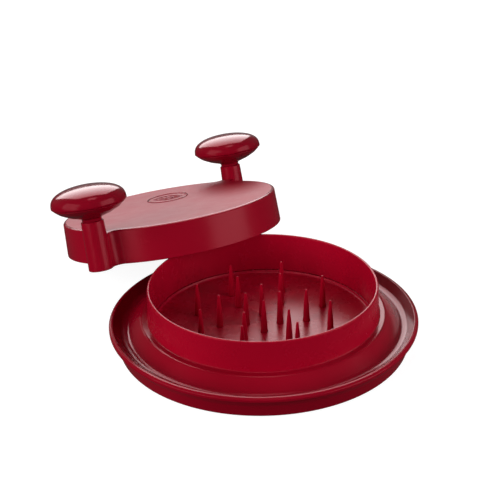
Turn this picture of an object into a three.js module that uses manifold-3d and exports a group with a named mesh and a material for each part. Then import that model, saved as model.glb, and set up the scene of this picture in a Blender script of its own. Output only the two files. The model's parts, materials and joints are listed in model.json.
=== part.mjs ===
// A twist-type food shredder: a round tray with a spiked chamber in its middle, and a spiked lid
// with two mushroom knobs. The lid leans on the chamber's rim. Millimetres, +Z up, origin on the
// tray's axis at the surface that its feet stand on.
import * as THREE from 'three';
import { mergeVertices } from 'three/addons/utils/BufferGeometryUtils.js';
import Module from 'manifold-3d';

// ---- driving dimensions -------------------------------------------------------------------

const WALL = 2.4; // wall thickness of the mouldings
const TOUCH_GAP = 0.3; // gap kept between pieces of the tilted lid

// Tray
const TRAY_RADIUS = 127.4; // outermost edge of the lip
const LIP_TOP_Z = 19.4;
const TROUGH_RADIUS = 115.6; // middle of the channel inside the lip
const TROUGH_Z = 11.9;
const SHELF_RADIUS = 100.8; // raised shelf around the chamber's foot
const SHELF_Z = 22.4;
const SKIRT_FOOT_RADIUS = 119.6; // lower edge of the tray's outer wall
const SKIRT_FOOT_Z = 1.8;
const FOOT_PAD_RADIUS = 5.5;
const FOOT_PAD_CIRCLE = 108;
const FOOT_PAD_COUNT = 6;
const FOOT_BOSS_TOP_Z = 9.4;

// Chamber
const CHAMBER_TOP_RADIUS = 94.4; // outside of the wall at its rim
const CHAMBER_FOOT_RADIUS = 95.2; // outside of the wall at the shelf
const CHAMBER_TOP_Z = 51.3;
const CHAMBER_WALL = 2.2;
const FLOOR_TOP_Z = 14.6;

// Spikes
const SPIKE_ROOT_RADIUS = 3.3;
const SPIKE_NECK_RADIUS = 2.1;
const SPIKE_TIP_RADIUS = 0.7;
const LOWER_SPIKE_HEIGHT = 29;
const UPPER_SPIKE_HEIGHT = 32.6;
const LOWER_ROWS = [
  { name: 'a', radius: 14, count: 4, start: 3 },
  { name: 'b', radius: 36, count: 6, start: 5 },
  { name: 'c', radius: 57, count: 8, start: 28 },
];
const UPPER_ROWS = [
  { name: 'd', radius: 25, count: 5, start: 15 },
  { name: 'e', radius: 46.5, count: 7, start: 0 },
];

// Lid
const LID_TOP_RADIUS = 98;
const LID_BOTTOM_RADIUS = 99.2;
const LID_HEIGHT = 30.2;
const LID_EDGE_ROUND = 1.6;
const POST_CIRCLE = 114; // distance of the handle posts from the lid's centre
const POST_TOP_RADIUS = 9.8;
const POST_BOTTOM_RADIUS = 10.6;
const POST_RISE = 12.4; // height of a post above the lid's top
const POST_WEB_FILLET = 8;
const POST_BORE_RADIUS = 4.6;
const SCREW_SEAT_DEPTH = 4; // thickness of the post's end that the screw clamps
const SCREW_HOLE_RADIUS = 2.3;
const EMBLEM_CENTRE = [32.3, -13.5]; // from the lid's centre, X towards its lowest side
const EMBLEM_TURN = THREE.MathUtils.degToRad(60.75);
const EMBLEM_HALF_LENGTH = 19.6; // along the leaf
const EMBLEM_HALF_WIDTH = 22;
const EMBLEM_RAISE = 0.7;

// Where the leaning lid lies: the top's centre, the direction it leans, and the handles' turn
const LEAN_AZIMUTH = THREE.MathUtils.degToRad(119.25);
const LEAN_TILT = THREE.MathUtils.degToRad(16.13);
const LEAN_DISTANCE = 172.6;
const LEAN_HEIGHT = 57.0;
const HANDLE_TURN = THREE.MathUtils.degToRad(122.1);

// Knob, measured up from the lid's top: a bowl on a neck, closed by a domed cap that overhangs it
const KNOB_NECK_RADIUS = 8.5;
const BOWL_RADIUS = 30.9;
const BOWL_RIM_HEIGHT = 27;
const CAP_RADIUS = 32.4;
const CAP_CROWN_HEIGHT = 43.6;
const DOME_FULLNESS = 2 / 3; // power of the dome's height: 1 is an ellipse, less has a fuller shoulder
const SCREW_SHANK_RADIUS = 1.9;
const SCREW_HEAD_RADIUS = 3.9;
const SCREW_LENGTH = 17;
const SCREW_PILOT_RADIUS = 2.2;

const LARGE_SEGMENTS = 60;
const POST_SEGMENTS = 24;
const KNOB_SEGMENTS = 36;
const SMALL_SEGMENTS = 8;

// ---- materials ----------------------------------------------------------------------------

const redShell = { color: 0xa00620, roughness: 0.38, metalness: 0 };
const redSpike = { color: 0x96051c, roughness: 0.42, metalness: 0 };
const darkRubber = { color: 0x3a0a10, roughness: 0.85, metalness: 0 };
const screwSteel = { color: 0xb4b6b8, roughness: 0.35, metalness: 1 };

// ---- helpers ------------------------------------------------------------------------------

const wasm = await Module();
wasm.setup();

function toSolid(geometry) {
  const bare = geometry.clone();
  bare.deleteAttribute('normal');
  bare.deleteAttribute('uv');
  const merged = mergeVertices(bare, 1e-4);
  const vertProperties = new Float32Array(merged.attributes.position.array);
  const triVerts = new Uint32Array(merged.index.array);
  return new wasm.Manifold(new wasm.Mesh({ numProp: 3, vertProperties, triVerts }));
}

function toGeometry(solid) {
  const mesh = solid.getMesh();
  const geometry = new THREE.BufferGeometry();
  geometry.setAttribute('position', new THREE.BufferAttribute(mesh.vertProperties, 3));
  geometry.setIndex(new THREE.BufferAttribute(mesh.triVerts, 1));
  geometry.computeVertexNormals();
  return geometry;
}

function namedMesh(name, geometry, look) {
  const mesh = new THREE.Mesh(geometry, new THREE.MeshStandardMaterial(look));
  mesh.name = name;
  return mesh;
}

// A solid of revolution about Z from (radius, z) points that run with the material on their left
function turned(points, segments) {
  const outline = points.map(([radius, z]) => new THREE.Vector2(radius, z));
  const geometry = new THREE.LatheGeometry(outline, segments);
  geometry.rotateX(Math.PI / 2);
  return geometry;
}

// Points of an arc in a turned outline, from one angle to another in degrees
function arc(radius, z, size, fromDegrees, toDegrees, steps) {
  const points = [];
  for (let step = 0; step <= steps; step += 1) {
    const angle = THREE.MathUtils.degToRad(fromDegrees + ((toDegrees - fromDegrees) * step) / steps);
    points.push([radius + size * Math.cos(angle), z + size * Math.sin(angle)]);
  }
  return points;
}

function polar(radius, angle) {
  return [radius * Math.cos(angle), radius * Math.sin(angle)];
}

// ---- tray and chamber ---------------------------------------------------------------------

function trayGeometry() {
  const lipRound = 1.2;
  const lipCentre = TRAY_RADIUS - lipRound;
  const lipCentreZ = LIP_TOP_Z - lipRound;
  const innerFoot = CHAMBER_FOOT_RADIUS;
  const underShelf = SHELF_Z - WALL;
  const points = [
    [innerFoot, underShelf],
    [SHELF_RADIUS - 4.4, underShelf],
    [TROUGH_RADIUS - 6.5, TROUGH_Z - WALL + 1.2],
    [TROUGH_RADIUS - 1, TROUGH_Z - WALL],
    [SKIRT_FOOT_RADIUS - 0.6, TROUGH_Z - WALL + 0.6],
    [SKIRT_FOOT_RADIUS - WALL, SKIRT_FOOT_Z + 1.5],
    [SKIRT_FOOT_RADIUS - WALL, SKIRT_FOOT_Z],
    [SKIRT_FOOT_RADIUS - 0.9, SKIRT_FOOT_Z],
    [SKIRT_FOOT_RADIUS, SKIRT_FOOT_Z + 0.9],
    [SKIRT_FOOT_RADIUS + 2.4, SKIRT_FOOT_Z + 10],
    [lipCentre - 1.4, lipCentreZ - 3.6],
    [lipCentre + 0.4, lipCentreZ - 2.8],
    ...arc(lipCentre, lipCentreZ, lipRound, -20, 140, 4),
    [TROUGH_RADIUS + 4.6, TROUGH_Z + 2.6],
    [TROUGH_RADIUS + 1.8, TROUGH_Z + 0.5],
    [TROUGH_RADIUS - 1, TROUGH_Z],
    [TROUGH_RADIUS - 6, TROUGH_Z + 1.3],
    [SHELF_RADIUS + 1.5, SHELF_Z - 2],
    [SHELF_RADIUS, SHELF_Z - 0.7],
    [SHELF_RADIUS - 1.6, SHELF_Z],
    [innerFoot, SHELF_Z],
    [innerFoot, underShelf],
  ];
  return turned(points, LARGE_SEGMENTS);
}

function chamberWallGeometry() {
  const outerFoot = CHAMBER_FOOT_RADIUS;
  const innerTop = CHAMBER_TOP_RADIUS - CHAMBER_WALL;
  const rimRound = CHAMBER_WALL / 2;
  const points = [
    [innerTop - 0.4, FLOOR_TOP_Z - WALL],
    [outerFoot, FLOOR_TOP_Z - WALL],
    [outerFoot, SHELF_Z],
    [CHAMBER_TOP_RADIUS, CHAMBER_TOP_Z - rimRound],
    ...arc(CHAMBER_TOP_RADIUS - rimRound, CHAMBER_TOP_Z - rimRound, rimRound, 45, 180, 3),
    [innerTop - 0.4, FLOOR_TOP_Z - WALL],
  ];
  return turned(points, LARGE_SEGMENTS);
}

function chamberFloorGeometry() {
  const radius = CHAMBER_TOP_RADIUS - CHAMBER_WALL - 0.4;
  const points = [
    [0, FLOOR_TOP_Z - WALL],
    [radius, FLOOR_TOP_Z - WALL],
    [radius, FLOOR_TOP_Z - 0.1],
    [radius - 0.6, FLOOR_TOP_Z],
    [0, FLOOR_TOP_Z],
  ];
  return turned(points, LARGE_SEGMENTS);
}

// A pad on its moulded stub under the tray's channel
function footPadGeometry() {
  const points = [
    [0, 0],
    [FOOT_PAD_RADIUS - 0.6, 0],
    [FOOT_PAD_RADIUS, 0.6],
    [FOOT_PAD_RADIUS - 0.8, FOOT_BOSS_TOP_Z],
    [0, FOOT_BOSS_TOP_Z],
  ];
  return turned(points, POST_SEGMENTS / 2);
}

// A tapering spike that stands on z = 0 and ends in a blunt point
function spikeGeometry(height) {
  const points = [
    [0, 0],
    [SPIKE_ROOT_RADIUS, 0],
    [SPIKE_NECK_RADIUS, height * 0.55],
    [SPIKE_TIP_RADIUS, height],
    [0, height],
  ];
  return turned(points, SMALL_SEGMENTS);
}

function addRows(group, rows, prefix, height, place) {
  for (const row of rows) {
    for (let index = 0; index < row.count; index += 1) {
      const angle = THREE.MathUtils.degToRad(row.start + (360 * index) / row.count);
      const [x, y] = polar(row.radius, angle);
      const name = `${prefix}_spike_${row.name}${index + 1}`;
      const spike = namedMesh(name, spikeGeometry(height), redSpike);
      place(spike, x, y);
      group.add(spike);
    }
  }
}

function buildBase() {
  const base = new THREE.Group();
  base.add(namedMesh('base_tray', trayGeometry(), redShell));
  base.add(namedMesh('chamber_wall', chamberWallGeometry(), redShell));
  base.add(namedMesh('chamber_floor', chamberFloorGeometry(), redShell));
  for (let index = 0; index < FOOT_PAD_COUNT; index += 1) {
    const [x, y] = polar(FOOT_PAD_CIRCLE, (2 * Math.PI * (index + 0.5)) / FOOT_PAD_COUNT);
    const pad = namedMesh(`foot_pad_${index + 1}`, footPadGeometry(), darkRubber);
    pad.position.set(x, y, 0);
    base.add(pad);
  }
  addRows(base, LOWER_ROWS, 'lower', LOWER_SPIKE_HEIGHT, (spike, x, y) => {
    spike.position.set(x, y, FLOOR_TOP_Z);
  });
  return base;
}

// ---- lid ----------------------------------------------------------------------------------

// The cap itself: a flat disc with a drafted skirt, its top at z = 0
function lidCapGeometry() {
  const round = LID_EDGE_ROUND;
  const points = [
    [0, -WALL],
    [LID_TOP_RADIUS - WALL - 1, -WALL],
    [LID_TOP_RADIUS - WALL, -WALL - 1],
    [LID_BOTTOM_RADIUS - WALL, -LID_HEIGHT],
    [LID_BOTTOM_RADIUS - 0.5, -LID_HEIGHT],
    [LID_BOTTOM_RADIUS, -LID_HEIGHT + 0.5],
    ...arc(LID_TOP_RADIUS - round, -round, round, 0, 90, 3),
    [0, 0],
  ];
  return turned(points, LARGE_SEGMENTS);
}

// Outline of the web between the skirt and a post that stands on +X, with a concave fillet each side
function webGeometry() {
  const skirt = LID_TOP_RADIUS - 0.6;
  const post = POST_TOP_RADIUS;
  const toFillet = skirt + POST_WEB_FILLET;
  const postToFillet = post + POST_WEB_FILLET;
  const along = (toFillet ** 2 + POST_CIRCLE ** 2 - postToFillet ** 2) / (2 * POST_CIRCLE);
  const aside = Math.sqrt(toFillet ** 2 - along ** 2);
  const skirtAngle = Math.atan2(-aside, -along);
  const postAngle = Math.atan2(-aside, POST_CIRCLE - along);
  const inner = skirt - WALL / 2;
  const outline = new THREE.Shape();
  outline.moveTo(inner, -aside);
  outline.lineTo(inner, aside);
  outline.absarc(along, aside, POST_WEB_FILLET, skirtAngle, postAngle, false);
  outline.absarc(along, -aside, POST_WEB_FILLET, -postAngle, -skirtAngle, false);
  outline.closePath();
  const depth = LID_HEIGHT - 0.2;
  const geometry = new THREE.ExtrudeGeometry(outline, {
    depth,
    bevelEnabled: false,
    curveSegments: 5,
  });
  geometry.translate(0, 0, -depth);
  return geometry;
}

function postGeometry() {
  const points = [
    [0, -LID_HEIGHT],
    [POST_BOTTOM_RADIUS - 0.8, -LID_HEIGHT],
    [POST_BOTTOM_RADIUS, -LID_HEIGHT + 0.8],
    [POST_TOP_RADIUS, POST_RISE - 0.8],
    [POST_TOP_RADIUS - 0.8, POST_RISE],
    [0, POST_RISE],
  ];
  return turned(points, POST_SEGMENTS);
}

// The hole up a post: wide for the screw's head, then narrow for its shank
function postBoreGeometry() {
  const seat = POST_RISE - SCREW_SEAT_DEPTH;
  const points = [
    [0, -LID_HEIGHT - 1],
    [POST_BORE_RADIUS, -LID_HEIGHT - 1],
    [POST_BORE_RADIUS, seat],
    [SCREW_HOLE_RADIUS, seat],
    [SCREW_HOLE_RADIUS, POST_RISE + 1],
    [0, POST_RISE + 1],
  ];
  return turned(points, POST_SEGMENTS / 2);
}

function lidShellGeometry() {
  let shell = toSolid(lidCapGeometry());
  for (const side of [0, Math.PI]) {
    const web = webGeometry();
    web.rotateZ(side);
    shell = shell.add(toSolid(web));
    const [x, y] = polar(POST_CIRCLE, side);
    const post = postGeometry();
    post.translate(x, y, 0);
    const bore = postBoreGeometry();
    bore.translate(x, y, 0);
    shell = shell.add(toSolid(post)).subtract(toSolid(bore));
  }
  return toGeometry(shell);
}

// A plain raised oval: a rim with a leaf shape across its middle
function emblemGeometry() {
  const rimWidth = 1.8;
  const halfLength = EMBLEM_HALF_LENGTH - rimWidth;
  const halfWidth = EMBLEM_HALF_WIDTH - rimWidth;
  const leafRoot = THREE.MathUtils.degToRad(9);
  const leafBulge = 12;
  const rim = new THREE.Shape();
  rim.absellipse(0, 0, EMBLEM_HALF_LENGTH, EMBLEM_HALF_WIDTH, 0, 2 * Math.PI, false, 0);
  for (const side of [1, -1]) {
    const opening = new THREE.Path();
    const start = side > 0 ? leafRoot : -leafRoot;
    opening.absellipse(0, 0, halfLength, halfWidth, start, side * Math.PI - start, side < 0, 0);
    opening.quadraticCurveTo(0, side * leafBulge, halfLength * Math.cos(start), halfWidth * Math.sin(start));
    rim.holes.push(opening);
  }
  return new THREE.ExtrudeGeometry(rim, { depth: EMBLEM_RAISE, bevelEnabled: false, curveSegments: 20 });
}

// ---- knobs --------------------------------------------------------------------------------

function knobBodyGeometry() {
  const seatZ = POST_RISE + TOUCH_GAP;
  const points = [
    [SCREW_PILOT_RADIUS, seatZ],
    [KNOB_NECK_RADIUS, seatZ],
    [KNOB_NECK_RADIUS + 0.2, 14.4],
    [KNOB_NECK_RADIUS + 3, 16],
    [19, 18.6],
    [26, 22.2],
    [BOWL_RADIUS - 0.7, BOWL_RIM_HEIGHT - 1.2],
    [BOWL_RADIUS, BOWL_RIM_HEIGHT],
    [SCREW_PILOT_RADIUS, BOWL_RIM_HEIGHT],
    [SCREW_PILOT_RADIUS, seatZ],
  ];
  return turned(points, KNOB_SEGMENTS);
}

// The domed cap: a crisp lower edge, a full shoulder and a gently crowned top
function knobCapGeometry() {
  const seatZ = BOWL_RIM_HEIGHT + TOUCH_GAP;
  const rise = CAP_CROWN_HEIGHT - seatZ;
  const steps = 10;
  const points = [[0, seatZ]];
  for (let step = 0; step < steps; step += 1) {
    const angle = (Math.PI / 2) * (step / steps);
    points.push([CAP_RADIUS * Math.cos(angle), seatZ + rise * Math.sin(angle) ** DOME_FULLNESS]);
  }
  points.push([0, CAP_CROWN_HEIGHT]);
  return turned(points, KNOB_SEGMENTS);
}

// A pan-head screw that clamps the knob from inside its post
function knobScrewGeometry() {
  const seat = POST_RISE - SCREW_SEAT_DEPTH - TOUCH_GAP;
  const points = [
    [0, seat - 3],
    [SCREW_HEAD_RADIUS - 1, seat - 3],
    [SCREW_HEAD_RADIUS, seat - 2],
    [SCREW_HEAD_RADIUS, seat],
    [SCREW_SHANK_RADIUS, seat],
    [SCREW_SHANK_RADIUS, seat + SCREW_LENGTH - 1],
    [SCREW_SHANK_RADIUS - 0.8, seat + SCREW_LENGTH],
    [0, seat + SCREW_LENGTH],
  ];
  return turned(points, POST_SEGMENTS / 2);
}

function buildLid() {
  const lid = new THREE.Group();
  lid.add(namedMesh('lid_shell', lidShellGeometry(), redShell));

  const hangFromDisc = (spike, x, y) => {
    spike.rotation.x = Math.PI;
    spike.position.set(x, y, -WALL - TOUCH_GAP);
  };
  addRows(lid, UPPER_ROWS, 'upper', UPPER_SPIKE_HEIGHT, hangFromDisc);
  const centre = namedMesh('upper_spike_centre', spikeGeometry(UPPER_SPIKE_HEIGHT), redSpike);
  hangFromDisc(centre, 0, 0);
  lid.add(centre);

  for (const [name, side] of [['near', 0], ['far', Math.PI]]) {
    const [x, y] = polar(POST_CIRCLE, side);
    const pieces = [
      namedMesh(`${name}_knob`, knobBodyGeometry(), redShell),
      namedMesh(`${name}_knob_cap`, knobCapGeometry(), redShell),
      namedMesh(`${name}_knob_screw`, knobScrewGeometry(), screwSteel),
    ];
    for (const piece of pieces) {
      piece.position.set(x, y, 0);
      lid.add(piece);
    }
  }
  lid.rotation.z = HANDLE_TURN;

  const emblem = namedMesh('lid_emblem', emblemGeometry(), redShell);
  emblem.position.set(EMBLEM_CENTRE[0], EMBLEM_CENTRE[1], TOUCH_GAP / 3);
  emblem.rotation.z = EMBLEM_TURN;

  // Tilt about the lid's own cross axis, then turn to the side that it leans towards
  const tilted = new THREE.Group();
  tilted.add(lid, emblem);
  tilted.rotation.y = LEAN_TILT;
  const leaning = new THREE.Group();
  leaning.add(tilted);
  leaning.rotation.z = LEAN_AZIMUTH;
  const [x, y] = polar(LEAN_DISTANCE, LEAN_AZIMUTH);
  leaning.position.set(x, y, LEAN_HEIGHT);
  return leaning;
}

const shredder = new THREE.Group();
shredder.add(buildBase(), buildLid());

export default shredder;
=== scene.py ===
"""A twist-type food shredder: a red tray with a spiked chamber, and its lid leaning on the rim.

Lengths are metres. Shapes are worked out from the frame's boxes and joints and the sizes named
below. An outline is a list of (radius, z) points, with the rounding of a corner as a third number.
"""
import json
import math

import bmesh
import bpy
from mathutils import Matrix, Vector


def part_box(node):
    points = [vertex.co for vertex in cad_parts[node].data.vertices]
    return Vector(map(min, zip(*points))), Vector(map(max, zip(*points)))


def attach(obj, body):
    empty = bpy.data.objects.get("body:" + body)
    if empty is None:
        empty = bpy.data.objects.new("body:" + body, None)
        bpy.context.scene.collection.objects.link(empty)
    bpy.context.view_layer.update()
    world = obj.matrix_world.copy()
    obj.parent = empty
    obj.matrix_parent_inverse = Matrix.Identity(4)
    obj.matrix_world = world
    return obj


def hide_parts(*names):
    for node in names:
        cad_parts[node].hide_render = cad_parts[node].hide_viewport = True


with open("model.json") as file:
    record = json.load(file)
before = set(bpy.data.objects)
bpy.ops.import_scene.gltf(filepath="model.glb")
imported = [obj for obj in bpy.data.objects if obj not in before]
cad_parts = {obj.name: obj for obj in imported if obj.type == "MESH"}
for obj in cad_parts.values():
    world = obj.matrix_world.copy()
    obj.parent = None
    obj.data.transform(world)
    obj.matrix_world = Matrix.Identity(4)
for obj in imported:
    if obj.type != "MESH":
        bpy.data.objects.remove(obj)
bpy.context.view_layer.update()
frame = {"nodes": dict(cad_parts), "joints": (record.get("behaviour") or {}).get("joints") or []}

# ---- sizes ------------------------------------------------------------------------------------

WALL = 0.0024                # wall of the mouldings
SEAM = 0.0001                # how far two pieces of one moulding run into each other

# Base
TROUGH_DROP = 0.0075         # middle of the channel below the tray's lip
SHELF_RISE = 0.0105          # shelf above the middle of the channel
CHAMBER_WALL = 0.0022
CHAMBER_DRAFT = 0.0008       # how much wider the chamber's wall is at its foot
RIM_ROUND = 0.00108

# Spikes
SPIKE_ROOT_RADIUS = 0.0033
SPIKE_WAIST_RADIUS = 0.0021  # a little over half way up
SPIKE_TIP_RADIUS = 0.0009
UPPER_SPIKE = 0.0328         # length of the spikes under the lid
UPPER_SPIKE_SINK = 0.0002    # how deep their roots run into the disc

# Lid
LID_TOP_RADIUS = 0.098
LID_DRAFT = 0.0012           # how much wider the skirt is at its foot
LID_HEIGHT = 0.0302
LID_EDGE_DROP = 0.0018       # the lid's rounded edge: how deep, and how far in it starts
LID_EDGE_REACH = 0.0032
LID_CROWN = 0.00005          # how much the lid's top rises to its middle
LID_LIP = 0.0007             # rounding of the skirt's lower lip
LID_FILLET = 0.003           # inside, between the disc and the skirt
LID_INNER_DISC = 0.05        # last ring of points on the disc's underside

# Handle posts, with heights above the lid's top
POST_CIRCLE = 0.114          # distance of each post from the lid's axis
POST_TOP_RADIUS = 0.0098
POST_BOTTOM_RADIUS = 0.0106
POST_RISE = 0.0124
POST_WEB_FILLET = 0.008      # where a post meets the skirt
POST_BORE_RADIUS = 0.0046
SCREW_HOLE_RADIUS = 0.0023
SCREW_SEAT = 0.004           # thickness that the screw clamps
SCREW_GAP = 0.0002           # between the screw's head and its seat
SHANK_RADIUS = 0.0019        # of the screws, and of the bores that they fill in the knobs

# Emblem
EMBLEM_PLACE = (0.0323, -0.0135)   # from the lid's centre, X towards its lowest side
EMBLEM_TURN = math.radians(60.75)
EMBLEM_HALF_LENGTH = 0.0196        # along the leaf
EMBLEM_HALF_WIDTH = 0.022
EMBLEM_RAISE = 0.0008
EMBLEM_RIDGE = 0.0016              # width of the oval ring
LEAF_LENGTH = 0.74                 # the leaf, in parts of the oval ring's length and breadth
LEAF_BREADTH = 0.46
VEIN_STARTS = (-0.42, -0.08, 0.26)   # in parts of the leaf's half length, from its middle

# Knobs, with heights above the lid's top
NECK_RADIUS = 0.0085
BOWL_RADIUS = 0.0309
BOWL_RIM = 0.027
CAP_RADIUS = 0.0324
CAP_GAP = 0.00005            # between the bowl and its cap
KNOB_GAP = 0.0001            # between a post and its knob
CAP_CROWN = 0.0436
DOME_FULLNESS = 2 / 3        # power of the dome's height: less than 1 has a full shoulder
DOME_CROWDING = 1.3          # power that crowds the dome's points towards its edge

# How finely round things are cut
SEGMENTS = 224
KNOB_SEGMENTS = 128
POST_SEGMENTS = 96
OVAL_SEGMENTS = 96
SMALL_SEGMENTS = 40
SPIKE_SEGMENTS = 28
ROUND_STEPS = 8              # in a rounded corner
LIP_STEPS = 3
WEB_STEPS = 12
SKIRT_STEPS = 120
DOME_STEPS = 48

# ---- places, from the frame -------------------------------------------------------------------

UP = Vector((0, 0, 1))


def box_size(node):
    low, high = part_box(node)
    return Vector(high) - Vector(low)


def box_centre(node):
    low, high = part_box(node)
    return (Vector(high) + Vector(low)) / 2


def nodes_named(start):
    return [node for node in sorted(frame["nodes"]) if node.startswith(start)]


twist = next(joint for joint in frame["joints"] if joint["name"] == "lid_twist")
LID_TOP = Vector(twist["pos_m"])
LID_UP = Vector(twist["axis"]).normalized()


def lid_frame(towards):
    """Matrix of a frame at the lid's top centre: Z along its axis, X towards a point."""
    z = LID_UP
    x = (towards - LID_TOP) - z * (towards - LID_TOP).dot(z)
    x.normalize()
    y = z.cross(x)
    return Matrix.Translation(LID_TOP) @ Matrix((x, y, z)).transposed().to_4x4()


LEAN = lid_frame(LID_TOP + Vector((LID_TOP.x, LID_TOP.y, 0)))
HANDLES = lid_frame(box_centre("near_knob"))

TRAY_RADIUS = box_size("base_tray").x / 2
TRAY_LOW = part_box("base_tray")[0][2]
# The tray's lip is built at the top of its box. In the CAD that is the top of the shelf, and the
# lip is 3 mm below it. So the lip, the channel and the shelf stand 3 mm higher here than there.
TRAY_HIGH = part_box("base_tray")[1][2]
CHAMBER_FOOT_RADIUS = box_size("chamber_wall").x / 2
CHAMBER_TOP_RADIUS = CHAMBER_FOOT_RADIUS - CHAMBER_DRAFT
CHAMBER_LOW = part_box("chamber_wall")[0][2]
CHAMBER_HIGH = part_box("chamber_wall")[1][2]
FLOOR_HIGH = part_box("chamber_floor")[1][2]
TROUGH_Z = TRAY_HIGH - TROUGH_DROP
SHELF_Z = TROUGH_Z + SHELF_RISE

# ---- mesh helpers -----------------------------------------------------------------------------


def add_object(name, data):
    piece = bpy.data.objects.new(name, data)
    bpy.context.scene.collection.objects.link(piece)
    return piece


def mesh_object(name, bm):
    mesh = bpy.data.meshes.new(name)
    bm.to_mesh(mesh)
    bm.free()
    return add_object(name, mesh)


def solid_object(name, bm):
    bmesh.ops.recalc_face_normals(bm, faces=bm.faces)
    return mesh_object(name, bm)


def full_turn(steps):
    return [2 * math.pi * step / steps for step in range(steps)]


def quarter_turn(steps):
    return [math.pi / 2 * step / steps for step in range(steps + 1)]


def round_corner(before, corner, after, radius):
    """Points of an arc of that radius that replaces a corner of an outline."""
    back = (before - corner).normalized()
    ahead = (after - corner).normalized()
    half = math.acos(max(-1, min(1, back.dot(ahead)))) / 2
    if half > math.radians(89):      # nearly straight: nothing to round
        return [corner]
    reach = radius / math.tan(half)
    limit = 0.49 * min((before - corner).length, (after - corner).length)
    if reach > limit:
        reach = limit
        radius = reach * math.tan(half)
    centre = corner + (back + ahead).normalized() * (radius / math.sin(half))
    start = corner + back * reach - centre
    end = corner + ahead * reach - centre
    sweep = start.angle_signed(end)
    points = []
    for step in range(ROUND_STEPS + 1):
        turn = -sweep * step / ROUND_STEPS
        cos, sin = math.cos(turn), math.sin(turn)
        turned = Vector((start.x * cos - start.y * sin, start.x * sin + start.y * cos))
        points.append(centre + turned)
    return points


def outline(points, closed):
    """The outline's points with its corners rounded. An open outline's ends stay as they are."""
    corners = [Vector(point[:2]) for point in points]
    rounds = [point[2] if len(point) > 2 else 0 for point in points]
    count = len(corners)
    result = []
    for index, (corner, radius) in enumerate(zip(corners, rounds)):
        at_end = not closed and index in (0, count - 1)
        if radius and not at_end:
            after = corners[(index + 1) % count]
            result += round_corner(corners[index - 1], corner, after, radius)
        else:
            result.append(corner)
    return result


def bridge(bm, rings, closed=False):
    """Joins rings of vertices in their order. A ring of one vertex brings them to a point."""
    count = max(len(ring) for ring in rings)
    pairs = list(zip(rings, rings[1:]))
    if closed:
        pairs.append((rings[-1], rings[0]))
    for near, far in pairs:
        for step in range(count):
            follow = (step + 1) % count
            if len(near) == 1:
                bm.faces.new((near[0], far[follow], far[step]))
            elif len(far) == 1:
                bm.faces.new((near[step], near[follow], far[0]))
            else:
                bm.faces.new((near[step], near[follow], far[follow], far[step]))


def add_turned(bm, points, closed=False, segments=SEGMENTS, place=None):
    """Adds a solid of revolution about Z to a mesh. An open outline starts and ends on the axis."""
    place = place or Matrix.Identity(4)
    rings = []
    for radius, z in outline(points, closed):
        on_axis = radius < 1e-7
        around = [0] if on_axis else full_turn(segments)
        ring = []
        for angle in around:
            spot = Vector((radius * math.cos(angle), radius * math.sin(angle), z))
            ring.append(bm.verts.new(place @ spot))
        rings.append(ring)
    bridge(bm, rings, closed)


def finished(name, bm, material, body, nodes):
    """Makes a mesh a piece: smooth but crisp, riding on a body, in place of its CAD nodes."""
    piece = solid_object(name, bm)
    for polygon in piece.data.polygons:
        polygon.use_smooth = True
    piece.data.materials.append(material)
    weighted = piece.modifiers.new("even_shading", "WEIGHTED_NORMAL")
    weighted.weight = 90     # the larger faces decide most of the shading
    weighted.keep_sharp = True
    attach(piece, body)
    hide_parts(*nodes)
    return piece


def turned_piece(name, points, material, body, nodes,
                 closed=False, segments=SEGMENTS, place=None):
    bm = bmesh.new()
    add_turned(bm, points, closed, segments, place)
    finished(name, bm, material, body, nodes)


# ---- materials --------------------------------------------------------------------------------

GLOSS_TINT = (1.0, 0.35, 0.4, 1)     # a reddish gloss, as in the photograph
NOISE_LOW, NOISE_HIGH = 0.3, 0.7     # most of a noise's values lie between these


class Nodes:
    """Short ways to add and join a material's nodes."""

    def __init__(self, name):
        self.material = bpy.data.materials.new(name)
        self.material.use_nodes = True
        self.tree = self.material.node_tree
        self.shader = self.tree.nodes["Principled BSDF"]
        self.place = self.tree.nodes.new("ShaderNodeTexCoord").outputs["Object"]

    def link(self, source, target):
        self.tree.links.new(source, target)

    def noise(self, scale, detail=3.0, roughness=0.55, source=None):
        node = self.tree.nodes.new("ShaderNodeTexNoise")
        node.inputs["Scale"].default_value = scale
        node.inputs["Detail"].default_value = detail
        node.inputs["Roughness"].default_value = roughness
        self.link(source or self.place, node.inputs["Vector"])
        return node.outputs["Fac"]

    def stretch(self, scale):
        node = self.tree.nodes.new("ShaderNodeMapping")
        node.inputs["Scale"].default_value = scale
        self.link(self.place, node.inputs["Vector"])
        return node.outputs["Vector"]

    def spread(self, source, low, high):
        node = self.tree.nodes.new("ShaderNodeMapRange")
        node.inputs["From Min"].default_value = NOISE_LOW
        node.inputs["From Max"].default_value = NOISE_HIGH
        node.inputs["To Min"].default_value = low
        node.inputs["To Max"].default_value = high
        self.link(source, node.inputs["Value"])
        return node.outputs["Result"]

    def blend(self, factor, first, second):
        node = self.tree.nodes.new("ShaderNodeMix")
        node.data_type = "RGBA"
        self.link(factor, node.inputs["Factor"])
        node.inputs["A"].default_value = (*first, 1)
        node.inputs["B"].default_value = (*second, 1)
        return node.outputs["Result"]

    def bump(self, height, strength, distance, normal=None):
        node = self.tree.nodes.new("ShaderNodeBump")
        node.inputs["Strength"].default_value = strength
        node.inputs["Distance"].default_value = distance
        self.link(height, node.inputs["Height"])
        if normal:
            self.link(normal, node.inputs["Normal"])
        return node.outputs["Normal"]


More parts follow.
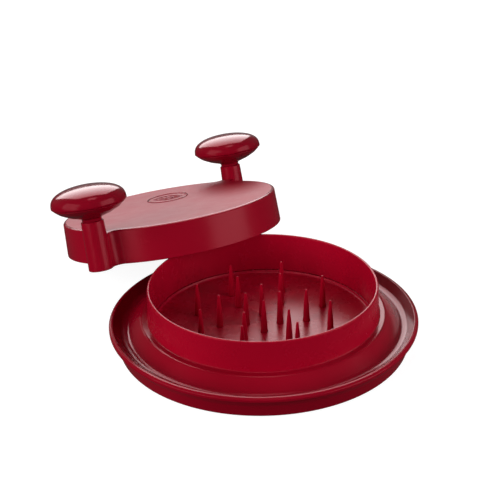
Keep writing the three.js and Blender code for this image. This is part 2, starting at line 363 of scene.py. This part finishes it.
def moulded_plastic(name, deep, bright, rough, grain,
                    ior=1.45, grain_scale=1500, waviness=0.03):
    """Dyed moulded plastic: slight cloudiness in its colour, and a fine grain in its gloss."""
    nodes = Nodes(name)
    cloud = nodes.noise(9, detail=2)
    dye = nodes.blend(nodes.spread(cloud, 0, 1), deep, bright)
    nodes.link(dye, nodes.shader.inputs["Base Color"])
    mottle = nodes.noise(55, detail=4, roughness=0.65)
    nodes.link(nodes.spread(mottle, rough - 0.035, rough + 0.045), nodes.shader.inputs["Roughness"])
    texture = nodes.bump(nodes.noise(grain_scale, detail=2), grain, 0.00004)
    sink = nodes.bump(nodes.noise(26, detail=1), waviness, 0.0003, texture)
    nodes.link(sink, nodes.shader.inputs["Normal"])
    nodes.shader.inputs["IOR"].default_value = ior
    nodes.shader.inputs["Specular Tint"].default_value = GLOSS_TINT
    return nodes.material


def foot_rubber():
    """Dull dark red rubber with a fine grain."""
    nodes = Nodes("foot_rubber")
    cloud = nodes.noise(180, detail=4)
    tone = nodes.blend(nodes.spread(cloud, 0, 1), (0.05, 0.006, 0.01), (0.085, 0.012, 0.018))
    nodes.link(tone, nodes.shader.inputs["Base Color"])
    nodes.link(nodes.spread(cloud, 0.72, 0.9), nodes.shader.inputs["Roughness"])
    nodes.link(nodes.bump(nodes.noise(2200), 0.4, 0.0001), nodes.shader.inputs["Normal"])
    return nodes.material


def screw_steel():
    """Steel with fine marks along the screw."""
    nodes = Nodes("screw_steel")
    nodes.shader.inputs["Metallic"].default_value = 1.0
    cloud = nodes.noise(300, detail=3)
    tone = nodes.blend(nodes.spread(cloud, 0, 1), (0.48, 0.48, 0.5), (0.66, 0.66, 0.67))
    nodes.link(tone, nodes.shader.inputs["Base Color"])
    brush = nodes.noise(900, detail=2, source=nodes.stretch((1, 1, 0.08)))
    nodes.link(nodes.spread(brush, 0.22, 0.42), nodes.shader.inputs["Roughness"])
    nodes.link(nodes.bump(brush, 0.25, 0.00005), nodes.shader.inputs["Normal"])
    return nodes.material


def pale_floor():
    """A grey floor that glows enough to look white, and still takes a faint shadow."""
    nodes = Nodes("pale_floor")
    cloud = nodes.noise(4)
    tone = nodes.blend(nodes.spread(cloud, 0, 1), (0.24, 0.24, 0.24), (0.27, 0.27, 0.27))
    nodes.link(tone, nodes.shader.inputs["Base Color"])
    nodes.shader.inputs["Roughness"].default_value = 0.9
    nodes.shader.inputs["Specular IOR Level"].default_value = 0.1
    nodes.shader.inputs["Emission Color"].default_value = (1, 1, 1, 1)
    nodes.shader.inputs["Emission Strength"].default_value = 0.9
    return nodes.material


SHELL = moulded_plastic(
    "red_shell", (0.27, 0.0008, 0.011), (0.33, 0.0014, 0.015), rough=0.26, grain=0.03)
# The tray is the same plastic as the chamber, but its red is darker: painted shade for the dimmer
# light on its deck and outer wall.
TRAY_SHADE_PAINTED = moulded_plastic(
    "red_tray_shell", (0.20, 0.0006, 0.008), (0.245, 0.0011, 0.011), rough=0.2, grain=0.03)
LID_SHELL = moulded_plastic(
    "red_lid_shell", (0.21, 0.0007, 0.009), (0.26, 0.0012, 0.012), rough=0.23, grain=0.03)
LID_SATIN = moulded_plastic(
    "red_lid_satin", (0.25, 0.0008, 0.011), (0.31, 0.0014, 0.015), rough=0.45, grain=0.3,
    ior=1.55, grain_scale=700, waviness=0.0)
KNOB_GLOSS = moulded_plastic(
    "red_knob_gloss", (0.18, 0.0006, 0.008), (0.22, 0.0010, 0.010), rough=0.13, grain=0.05,
    ior=1.5, waviness=0.01)
SPIKE = moulded_plastic(
    "red_spike", (0.27, 0.0008, 0.010), (0.33, 0.0014, 0.014), rough=0.3, grain=0.06)
RUBBER = foot_rubber()
STEEL = screw_steel()

# ---- base -------------------------------------------------------------------------------------


def make_tray():
    """Turned from underneath the shelf, out to the foot, up over the lip and in along the top."""
    lip = TRAY_RADIUS
    top = TRAY_HIGH
    trough = TRAY_RADIUS - 0.0118
    foot = TRAY_RADIUS - 0.0078
    shelf = CHAMBER_FOOT_RADIUS + 0.0055
    inner = CHAMBER_FOOT_RADIUS - 0.0004
    fillet = 0.0017
    points = [
        (inner, SHELF_Z - WALL),
        (shelf - 0.0052, SHELF_Z - WALL, 0.002),
        (trough - 0.0055, TROUGH_Z - WALL + 0.0004, 0.006),
        (foot - WALL + 0.0016, TROUGH_Z - WALL, 0.002),
        (foot - WALL, TRAY_LOW, 0.0006),
        (foot, TRAY_LOW, 0.0013),
        (foot + 0.0026, TRAY_LOW + 0.0106, 0.006),
        (lip - 0.0031, top - 0.0052, 0.0012),
        (lip - 0.0001, top - 0.0040, 0.0012),
        (lip, top - 0.0016, 0.0009),
        (lip - 0.0018, top - 0.0003, 0.0005),
        (lip - 0.0032, top - 0.0001, 0.0005),
        (trough + 0.0019, TROUGH_Z + 0.0002, 0.0048),
        (trough - 0.0034, TROUGH_Z, 0.0130),
        (shelf, SHELF_Z, 0.0034),
        (CHAMBER_FOOT_RADIUS + 0.0003, SHELF_Z, fillet),
        (inner, SHELF_Z + fillet),
    ]
    # The tray takes the darker red, which is painted shade.
    turned_piece("tray", points, TRAY_SHADE_PAINTED, "base", ["base_tray"], closed=True)


def make_chamber_wall():
    inner_top = CHAMBER_TOP_RADIUS - CHAMBER_WALL
    inner_foot = inner_top - 0.0004
    points = [
        (inner_foot, CHAMBER_LOW),
        (CHAMBER_FOOT_RADIUS, CHAMBER_LOW),
        (CHAMBER_FOOT_RADIUS, SHELF_Z + SEAM),
        (CHAMBER_TOP_RADIUS, CHAMBER_HIGH, RIM_ROUND),
        (inner_top, CHAMBER_HIGH, RIM_ROUND),
    ]
    turned_piece("chamber_wall_ring", points, SHELL, "base", ["chamber_wall"],
                 closed=True)


def make_chamber_floor():
    """A disc that curves up into the chamber's wall."""
    edge = CHAMBER_TOP_RADIUS - CHAMBER_WALL - 0.0003
    cove = 0.003
    points = [
        (0, CHAMBER_LOW),
        (edge, CHAMBER_LOW),
        (edge, FLOOR_HIGH + cove),
        (edge - 0.0004, FLOOR_HIGH + cove * 0.55),
        (edge - cove * 0.5, FLOOR_HIGH + 0.0002, 0.002),
        (edge - cove * 1.4, FLOOR_HIGH, 0.002),
        (0, FLOOR_HIGH),
    ]
    turned_piece("chamber_floor_disc", points, SHELL, "base", ["chamber_floor"])


def make_feet():
    for node in nodes_named("foot_pad"):
        size = box_size(node)
        centre = box_centre(node)
        radius = size.x / 2
        points = [
            (0, 0),
            (radius - 0.0009, 0, 0.0005),
            (radius, 0.0008, 0.0004),
            (radius - 0.0008, size.z),
            (0, size.z),
        ]
        place = Matrix.Translation((centre.x, centre.y, 0))
        turned_piece(node.replace("foot_pad", "rubber_foot"), points, RUBBER, "base", [node],
                     segments=SMALL_SEGMENTS, place=place)


def spike_points(height):
    """A tapering spike on a small fillet, with a blunt rounded tip."""
    return [
        (0, 0),
        (SPIKE_ROOT_RADIUS, 0),
        (SPIKE_ROOT_RADIUS - 0.0004, 0.0014, 0.001),
        (SPIKE_WAIST_RADIUS, height * 0.55, 0.03),
        (SPIKE_TIP_RADIUS, height - 0.0003, 0.0006),
        (0, height),
    ]


def make_spikes():
    for node in nodes_named("lower_spike"):
        centre = box_centre(node)
        points = spike_points(box_size(node).z)
        place = Matrix.Translation((centre.x, centre.y, FLOOR_HIGH - SEAM))
        turned_piece(node.replace("lower", "tray"), points, SPIKE, "base", [node],
                     segments=SPIKE_SEGMENTS, place=place)


make_tray()
make_chamber_wall()
make_chamber_floor()
make_feet()
make_spikes()

# ---- lid --------------------------------------------------------------------------------------

SIDES = {"near": 1, "far": -1}       # the posts' places along the handles' X
SHARP_ANGLE = math.radians(28)       # where the lid's faces turn more, its edge stays crisp

# A ridge's cross-section, in parts of its width and height; its sides run down into the lid
RIDGE_PROFILE = ((-0.5, -0.6), (-0.5, 0.55), (-0.32, 0.92), (0, 1), (0.32, 0.92), (0.5, 0.55),
                 (0.5, -0.6))


def lid_loop(z, inset):
    """Points around the lid at one height, in the handles' frame.

    They follow the skirt and the hollow webs to the posts, all moved in by the inset.
    """
    drop = -z / LID_HEIGHT
    skirt = LID_TOP_RADIUS + LID_DRAFT * drop
    post = POST_TOP_RADIUS + (POST_BOTTOM_RADIUS - POST_TOP_RADIUS) * drop
    to_skirt = skirt + POST_WEB_FILLET
    to_post = post + POST_WEB_FILLET
    along = (to_skirt ** 2 + POST_CIRCLE ** 2 - to_post ** 2) / (2 * POST_CIRCLE)
    aside = math.sqrt(to_skirt ** 2 - along ** 2)
    at_skirt = math.atan2(-aside, -along)
    at_post = math.atan2(-aside, POST_CIRCLE - along)
    hollow = POST_WEB_FILLET + inset
    upper = []
    for step in range(WEB_STEPS + 1):
        angle = at_post + (at_skirt - at_post) * step / WEB_STEPS
        upper.append((along + hollow * math.cos(angle), aside + hollow * math.sin(angle)))
    start = math.atan2(aside, along)
    arc = []
    for step in range(1, SKIRT_STEPS):
        angle = start + (math.pi - 2 * start) * step / SKIRT_STEPS
        arc.append(((skirt - inset) * math.cos(angle), (skirt - inset) * math.sin(angle)))
    half = upper + arc + [(-x, y) for x, y in reversed(upper)]
    loop = half + [(-x, -y) for x, y in half]
    return [Vector((x, y, z)) for x, y in loop]


def circle_loop(like, radius, z):
    """A circle whose points lie at the same angles as another loop's, always in rising order."""
    angles = sorted(math.atan2(point.y, point.x) % (2 * math.pi) for point in like)
    return [Vector((radius * math.cos(angle), radius * math.sin(angle), z)) for angle in angles]


def lid_cap_mesh():
    """The flat top, its rounded edge, the drafted skirt, and the hollow under it."""
    loops = []
    outer_top = lid_loop(0, LID_EDGE_REACH)
    for radius in (0.03, 0.06, 0.09):
        rise = LID_CROWN * (1 - (radius / LID_TOP_RADIUS) ** 2)
        loops.append(circle_loop(outer_top, radius, rise))
    for angle in quarter_turn(ROUND_STEPS):
        inset = LID_EDGE_REACH * (1 - math.sin(angle))
        loops.append(lid_loop(-LID_EDGE_DROP * (1 - math.cos(angle)), inset))
    for part in (0.3, 0.6, 0.9):
        loops.append(lid_loop(-LID_HEIGHT * part, 0))
    for angle in quarter_turn(LIP_STEPS):
        inset = LID_LIP * (1 - math.cos(angle))
        loops.append(lid_loop(-LID_HEIGHT + LID_LIP * (1 - math.sin(angle)), inset))
    inner_foot = LID_TOP_RADIUS + LID_DRAFT - WALL
    inner_top = LID_TOP_RADIUS - WALL
    loops.append(circle_loop(outer_top, inner_foot + LID_LIP, -LID_HEIGHT))
    loops.append(circle_loop(outer_top, inner_foot, -LID_HEIGHT + LID_LIP))
    for angle in quarter_turn(ROUND_STEPS):
        radius = inner_top - LID_FILLET * (1 - math.cos(angle))
        depth = -WALL - LID_FILLET * (1 - math.sin(angle))
        loops.append(circle_loop(outer_top, radius, depth))
    loops.append(circle_loop(outer_top, LID_INNER_DISC, -WALL))
    bm = bmesh.new()
    rings = [[bm.verts.new(HANDLES @ point) for point in loop] for loop in loops]
    bridge(bm, rings)
    count = len(rings[0])
    for ring, z in ((rings[0], LID_CROWN), (rings[-1], -WALL)):
        middle = bm.verts.new(HANDLES @ Vector((0, 0, z)))
        for step in range(count):
            bm.faces.new((middle, ring[step], ring[(step + 1) % count]))
    return bm


def post_points():
    """Outline of a hollow post: a wide bore below for the screw's head, a small hole at its top."""
    seat = POST_RISE - SCREW_SEAT
    low = -LID_HEIGHT - SEAM
    return [
        (POST_BORE_RADIUS, low, 0.0004),
        (POST_BOTTOM_RADIUS, low, 0.0009),
        (POST_TOP_RADIUS + 0.00035, 0.0),
        (POST_TOP_RADIUS, POST_RISE, 0.0009),
        (SCREW_HOLE_RADIUS, POST_RISE),
        (SCREW_HOLE_RADIUS, seat),
        (POST_BORE_RADIUS, seat),
    ]


def post_place(side):
    return HANDLES @ Matrix.Translation((side * POST_CIRCLE, 0, 0))


def joined(base, tools):
    """The union of solids, as a bmesh, with no points left midway along an edge.

    The objects that it is made from are removed.
    """
    for tool in tools:
        union = base.modifiers.new("union", "BOOLEAN")
        union.operation = "UNION"
        union.solver = "MANIFOLD"
        union.object = tool
    bpy.context.view_layer.update()
    result = base.evaluated_get(bpy.context.evaluated_depsgraph_get()).to_mesh()
    bm = bmesh.new()
    bm.from_mesh(result)
    base.to_mesh_clear()
    for leftover in (base, *tools):
        bpy.data.objects.remove(leftover)
    bmesh.ops.remove_doubles(bm, verts=bm.verts, dist=1e-6)
    along_an_edge = [vert for vert in bm.verts if len(vert.link_edges) == 2]
    bmesh.ops.dissolve_verts(bm, verts=along_an_edge)
    return bm


def make_lid_shell():
    """The cap and its two posts in one, with a satin top."""
    cap = solid_object("lid_cap", lid_cap_mesh())
    posts = []
    for side in SIDES.values():
        bm = bmesh.new()
        add_turned(bm, post_points(), True, POST_SEGMENTS, post_place(side))
        posts.append(solid_object("post", bm))
    bm = joined(cap, posts)
    for edge in bm.edges:
        edge.smooth = not edge.is_manifold or edge.calc_face_angle() < SHARP_ANGLE
    lid = finished("lid", bm, LID_SHELL, "lid", ["lid_shell"])
    lid.data.materials.append(LID_SATIN)
    for polygon in lid.data.polygons:
        on_top = abs((polygon.center - LID_TOP).dot(LID_UP)) < 0.0001
        if on_top and polygon.normal.dot(LID_UP) > 0.99:
            polygon.material_index = 1


def add_ridge(bm, path, width, height, place, closed):
    """A raised, rounded ridge along a flat path of (x, y) points, tapering at open ends."""
    count = len(path)
    rings = []
    for index, point in enumerate(path):
        back = path[index - 1] if closed or index else point
        ahead = path[(index + 1) % count] if closed or index < count - 1 else point
        along = (Vector(ahead) - Vector(back)).normalized()
        side = Vector((-along.y, along.x))
        taper = 1.0
        if not closed:
            taper = min(1.0, 0.25 + 4 * min(index, count - 1 - index) / (count - 1))
        ring = []
        for across, up in RIDGE_PROFILE:
            flat = Vector(point) + side * across * width * taper
            rise = up * height * (taper if up > 0 else 1)
            ring.append(bm.verts.new(place @ Vector((flat.x, flat.y, rise))))
        rings.append(ring)
    bridge(bm, rings, closed)
    if not closed:
        bm.faces.new(rings[0])
        bm.faces.new(list(reversed(rings[-1])))


def make_emblem():
    """A raised oval ring round a leaf with a few veins, with no lettering."""
    place = LEAN @ Matrix.Translation((*EMBLEM_PLACE, 0)) @ Matrix.Rotation(EMBLEM_TURN, 4, "Z")
    length = EMBLEM_HALF_LENGTH - EMBLEM_RIDGE / 2
    breadth = EMBLEM_HALF_WIDTH - EMBLEM_RIDGE / 2
    leaf_half = length * LEAF_LENGTH
    leaf_bulge = breadth * LEAF_BREADTH
    bm = bmesh.new()

    def add_line(path, width, height, closed=False):
        add_ridge(bm, path, EMBLEM_RIDGE * width, EMBLEM_RAISE * height, place, closed)

    oval = [(length * math.cos(angle), breadth * math.sin(angle))
            for angle in full_turn(OVAL_SEGMENTS)]
    add_line(oval, 1, 1, closed=True)
    for side in (1, -1):
        edge = []
        for step in range(25):
            part = -1 + step / 12
            edge.append((leaf_half * part, side * leaf_bulge * (1 - part * part)))
        add_line(edge, 0.95, 0.9)
        for start in VEIN_STARTS:
            vein = []
            for step in range(7):
                part = step / 6
                out = side * leaf_bulge * (0.05 + 0.55 * part)
                vein.append((leaf_half * (start + 0.26 * part), out))
            add_line(vein, 0.7, 0.75)
    spine = [(leaf_half * (-0.9 + 1.8 * step / 16), 0) for step in range(17)]
    add_line(spine, 0.8, 0.8)
    finished("oval_emblem", bm, LID_SHELL, "lid", ["lid_emblem"])


def knob_points():
    """Outline of a knob's lower part: a neck that flares into a bowl with a flat rim."""
    seat = POST_RISE + KNOB_GAP
    return [
        (SHANK_RADIUS, seat),
        (NECK_RADIUS, seat, 0.0004),
        (NECK_RADIUS + 0.0002, 0.0152, 0.005),
        (0.0185, 0.0184, 0.016),
        (0.0262, 0.0222, 0.014),
        (BOWL_RADIUS - 0.0004, BOWL_RIM - 0.0012, 0.001),
        (BOWL_RADIUS, BOWL_RIM),
        (SHANK_RADIUS, BOWL_RIM),
    ]


def cap_points():
    """Outline of the knob's cap: a crisp edge over the bowl, a full shoulder, a gentle crown."""
    rim = BOWL_RIM + CAP_GAP
    rise = CAP_CROWN - rim
    points = [(0, rim), (CAP_RADIUS - 0.0006, rim, 0.0003)]
    for step in range(1, DOME_STEPS):
        angle = math.pi / 2 * (step / DOME_STEPS) ** DOME_CROWDING
        height = rim + rise * math.sin(angle) ** DOME_FULLNESS
        points.append((CAP_RADIUS * math.cos(angle), height))
    points.append((0, CAP_CROWN))
    return points


def screw_points():
    """Outline of a screw: a head in the post's bore, and a shank that runs up into the knob."""
    seat = POST_RISE - SCREW_SEAT - SCREW_GAP
    return [
        (0, seat - 0.0018),
        (0.0011, seat - 0.0018),
        (0.0013, seat - 0.0031, 0.0003),
        (0.0030, seat - 0.0030, 0.0009),
        (0.0039, seat - 0.0018, 0.0005),
        (0.0039, seat, 0.0002),
        (SHANK_RADIUS, seat),
        (SHANK_RADIUS, seat + 0.016),
        (0.0009, seat + 0.017),
        (0, seat + 0.017),
    ]


def make_knobs():
    for name, side in SIDES.items():
        place = post_place(side)
        turned_piece(f"{name}_handle_knob", knob_points(), KNOB_GLOSS, "lid", [f"{name}_knob"],
                     closed=True, segments=KNOB_SEGMENTS, place=place)
        turned_piece(f"{name}_handle_cap", cap_points(), KNOB_GLOSS, "lid", [f"{name}_knob_cap"],
                     segments=KNOB_SEGMENTS, place=place)
        turned_piece(f"{name}_handle_screw", screw_points(), STEEL, "lid", [f"{name}_knob_screw"],
                     segments=SMALL_SEGMENTS, place=place)


def make_lid_spikes():
    """Spikes under the lid, each rooted in the disc above its CAD node."""
    facing_down = UP.rotation_difference(LID_UP * -1).to_matrix().to_4x4()
    for node in nodes_named("upper_spike"):
        vertices = frame["nodes"][node].data.vertices
        middle = sum((vertex.co for vertex in vertices), Vector()) / len(vertices)
        at_top = middle + LID_UP * (LID_TOP - middle).dot(LID_UP)
        root = at_top - LID_UP * (WALL - UPPER_SPIKE_SINK)
        place = Matrix.Translation(root) @ facing_down
        body = "lid_carrier" if node == "upper_spike_centre" else "lid"
        turned_piece(node.replace("upper", "lid"), spike_points(UPPER_SPIKE), SPIKE, body, [node],
                     segments=SPIKE_SEGMENTS, place=place)


make_lid_shell()
make_emblem()
make_knobs()
make_lid_spikes()

# ---- floor, light and camera ------------------------------------------------------------------

FLOOR_HALF = 4.0
SOFTBOX_TARGET = (0, 0.08, 0.03)
SOFTBOXES = (
    # name, place, size, power of its light, power of its reflection
    ("left", (-1.35, -0.85, 0.6), (1.5, 1.2), 34, 5),
    ("right", (1.5, -0.55, 0.55), (1.4, 1.1), 25, 6),
    ("top", (0.0, -0.1, 1.7), (0.5, 0.5), 1, 2),
    ("back", (-0.35, 1.35, 1.07), (1.66, 1.9), 9, 46),
)
CAMERA_PLACE = (0, -0.9393, 0.5466)
CAMERA_TURNS = (-1.046, 25.854, -1.789)    # pan, tilt and roll in degrees
CAMERA_LENS = 97.5
CAMERA_SENSOR = 36


def make_floor():
    bm = bmesh.new()
    corners = ((-1, -1), (1, -1), (1, 1), (-1, 1))
    bm.faces.new([bm.verts.new((x * FLOOR_HALF, y * FLOOR_HALF, 0)) for x, y in corners])
    floor = mesh_object("floor", bm)
    floor.data.materials.append(pale_floor())
    floor.visible_glossy = False     # what the gloss and the undersides show is the dim studio
    floor.visible_diffuse = False


def add_lamp(name, place, target, size, power, in_gloss):
    """A soft rectangle that either lights surfaces or is seen in their gloss, but not both."""
    light = bpy.data.lights.new(name, "AREA")
    light.shape = "RECTANGLE"
    light.size, light.size_y = size
    light.energy = power
    lamp = add_object(name, light)
    lamp.location = place
    lamp.rotation_euler = (target - place).to_track_quat("-Z", "Y").to_euler()
    lamp.visible_diffuse = not in_gloss
    lamp.visible_glossy = in_gloss
    lamp.visible_camera = False


def add_softbox(name, place, size, power, gloss_power):
    """A softbox aimed at the object, with its light and its reflection balanced apart."""
    place = Vector(place)
    target = Vector(SOFTBOX_TARGET)
    before = place.lerp(target, 0.01)    # clear of the first lamp, which would hide it
    add_lamp(name + "_light", place, target, size, power, in_gloss=False)
    add_lamp(name + "_gloss", before, target, size, gloss_power, in_gloss=True)


def ramp(tree, source, towards, low, high):
    """A smooth change of strength along an axis, between two (place, strength) pairs."""
    along = tree.nodes.new("ShaderNodeVectorMath")
    along.operation = "DOT_PRODUCT"
    along.inputs[1].default_value = towards
    tree.links.new(source, along.inputs[0])
    node = tree.nodes.new("ShaderNodeMapRange")
    node.interpolation_type = "SMOOTHSTEP"
    node.inputs["From Min"].default_value, node.inputs["To Min"].default_value = low
    node.inputs["From Max"].default_value, node.inputs["To Max"].default_value = high
    tree.links.new(along.outputs["Value"], node.inputs["Value"])
    return node.outputs["Result"]


def make_world():
    """A dim studio, darker below and paler behind, which the camera itself sees as white."""
    world = bpy.data.worlds.new("studio")
    world.use_nodes = True
    tree = world.node_tree
    background = tree.nodes["Background"]
    place = tree.nodes.new("ShaderNodeTexCoord").outputs["Generated"]
    overall = ramp(tree, place, (0, 0, 1), (-0.25, 0.04), (0.3, 0.13))
    behind = ramp(tree, place, (0, 1, 0), (0.92, 0.0), (0.995, 0.16))
    studio = tree.nodes.new("ShaderNodeMath")
    studio.operation = "ADD"
    tree.links.new(overall, studio.inputs[0])
    tree.links.new(behind, studio.inputs[1])
    in_view = tree.nodes.new("ShaderNodeLightPath")
    strength = tree.nodes.new("ShaderNodeMix")
    strength.inputs["B"].default_value = 1.0
    tree.links.new(in_view.outputs["Is Camera Ray"], strength.inputs["Factor"])
    tree.links.new(studio.outputs["Value"], strength.inputs["A"])
    background.inputs["Color"].default_value = (1.0, 1.0, 1.0, 1)
    tree.links.new(strength.outputs["Result"], background.inputs["Strength"])
    bpy.context.scene.world = world


def make_light():
    make_world()
    bpy.context.scene.view_settings.view_transform = "Standard"
    for softbox in SOFTBOXES:
        add_softbox(*softbox)


def make_camera():
    """A long lens from in front and above, with the small pan and roll of the view."""
    pan, tilt, roll = (math.radians(angle) for angle in CAMERA_TURNS)
    level = math.cos(tilt)
    ahead = Vector((math.sin(pan) * level, math.cos(pan) * level, -math.sin(tilt)))
    right = Vector((math.cos(pan), -math.sin(pan), 0))
    above = right.cross(ahead)
    x = right * math.cos(roll) + above * math.sin(roll)
    y = above * math.cos(roll) - right * math.sin(roll)
    data = bpy.data.cameras.new("camera")
    data.sensor_width = CAMERA_SENSOR
    data.lens = CAMERA_LENS
    camera = add_object("camera", data)
    turn = Matrix((x, y, -ahead)).transposed().to_4x4()
    camera.matrix_world = Matrix.Translation(CAMERA_PLACE) @ turn
    bpy.context.scene.camera = camera


make_floor()
make_light()
make_camera()
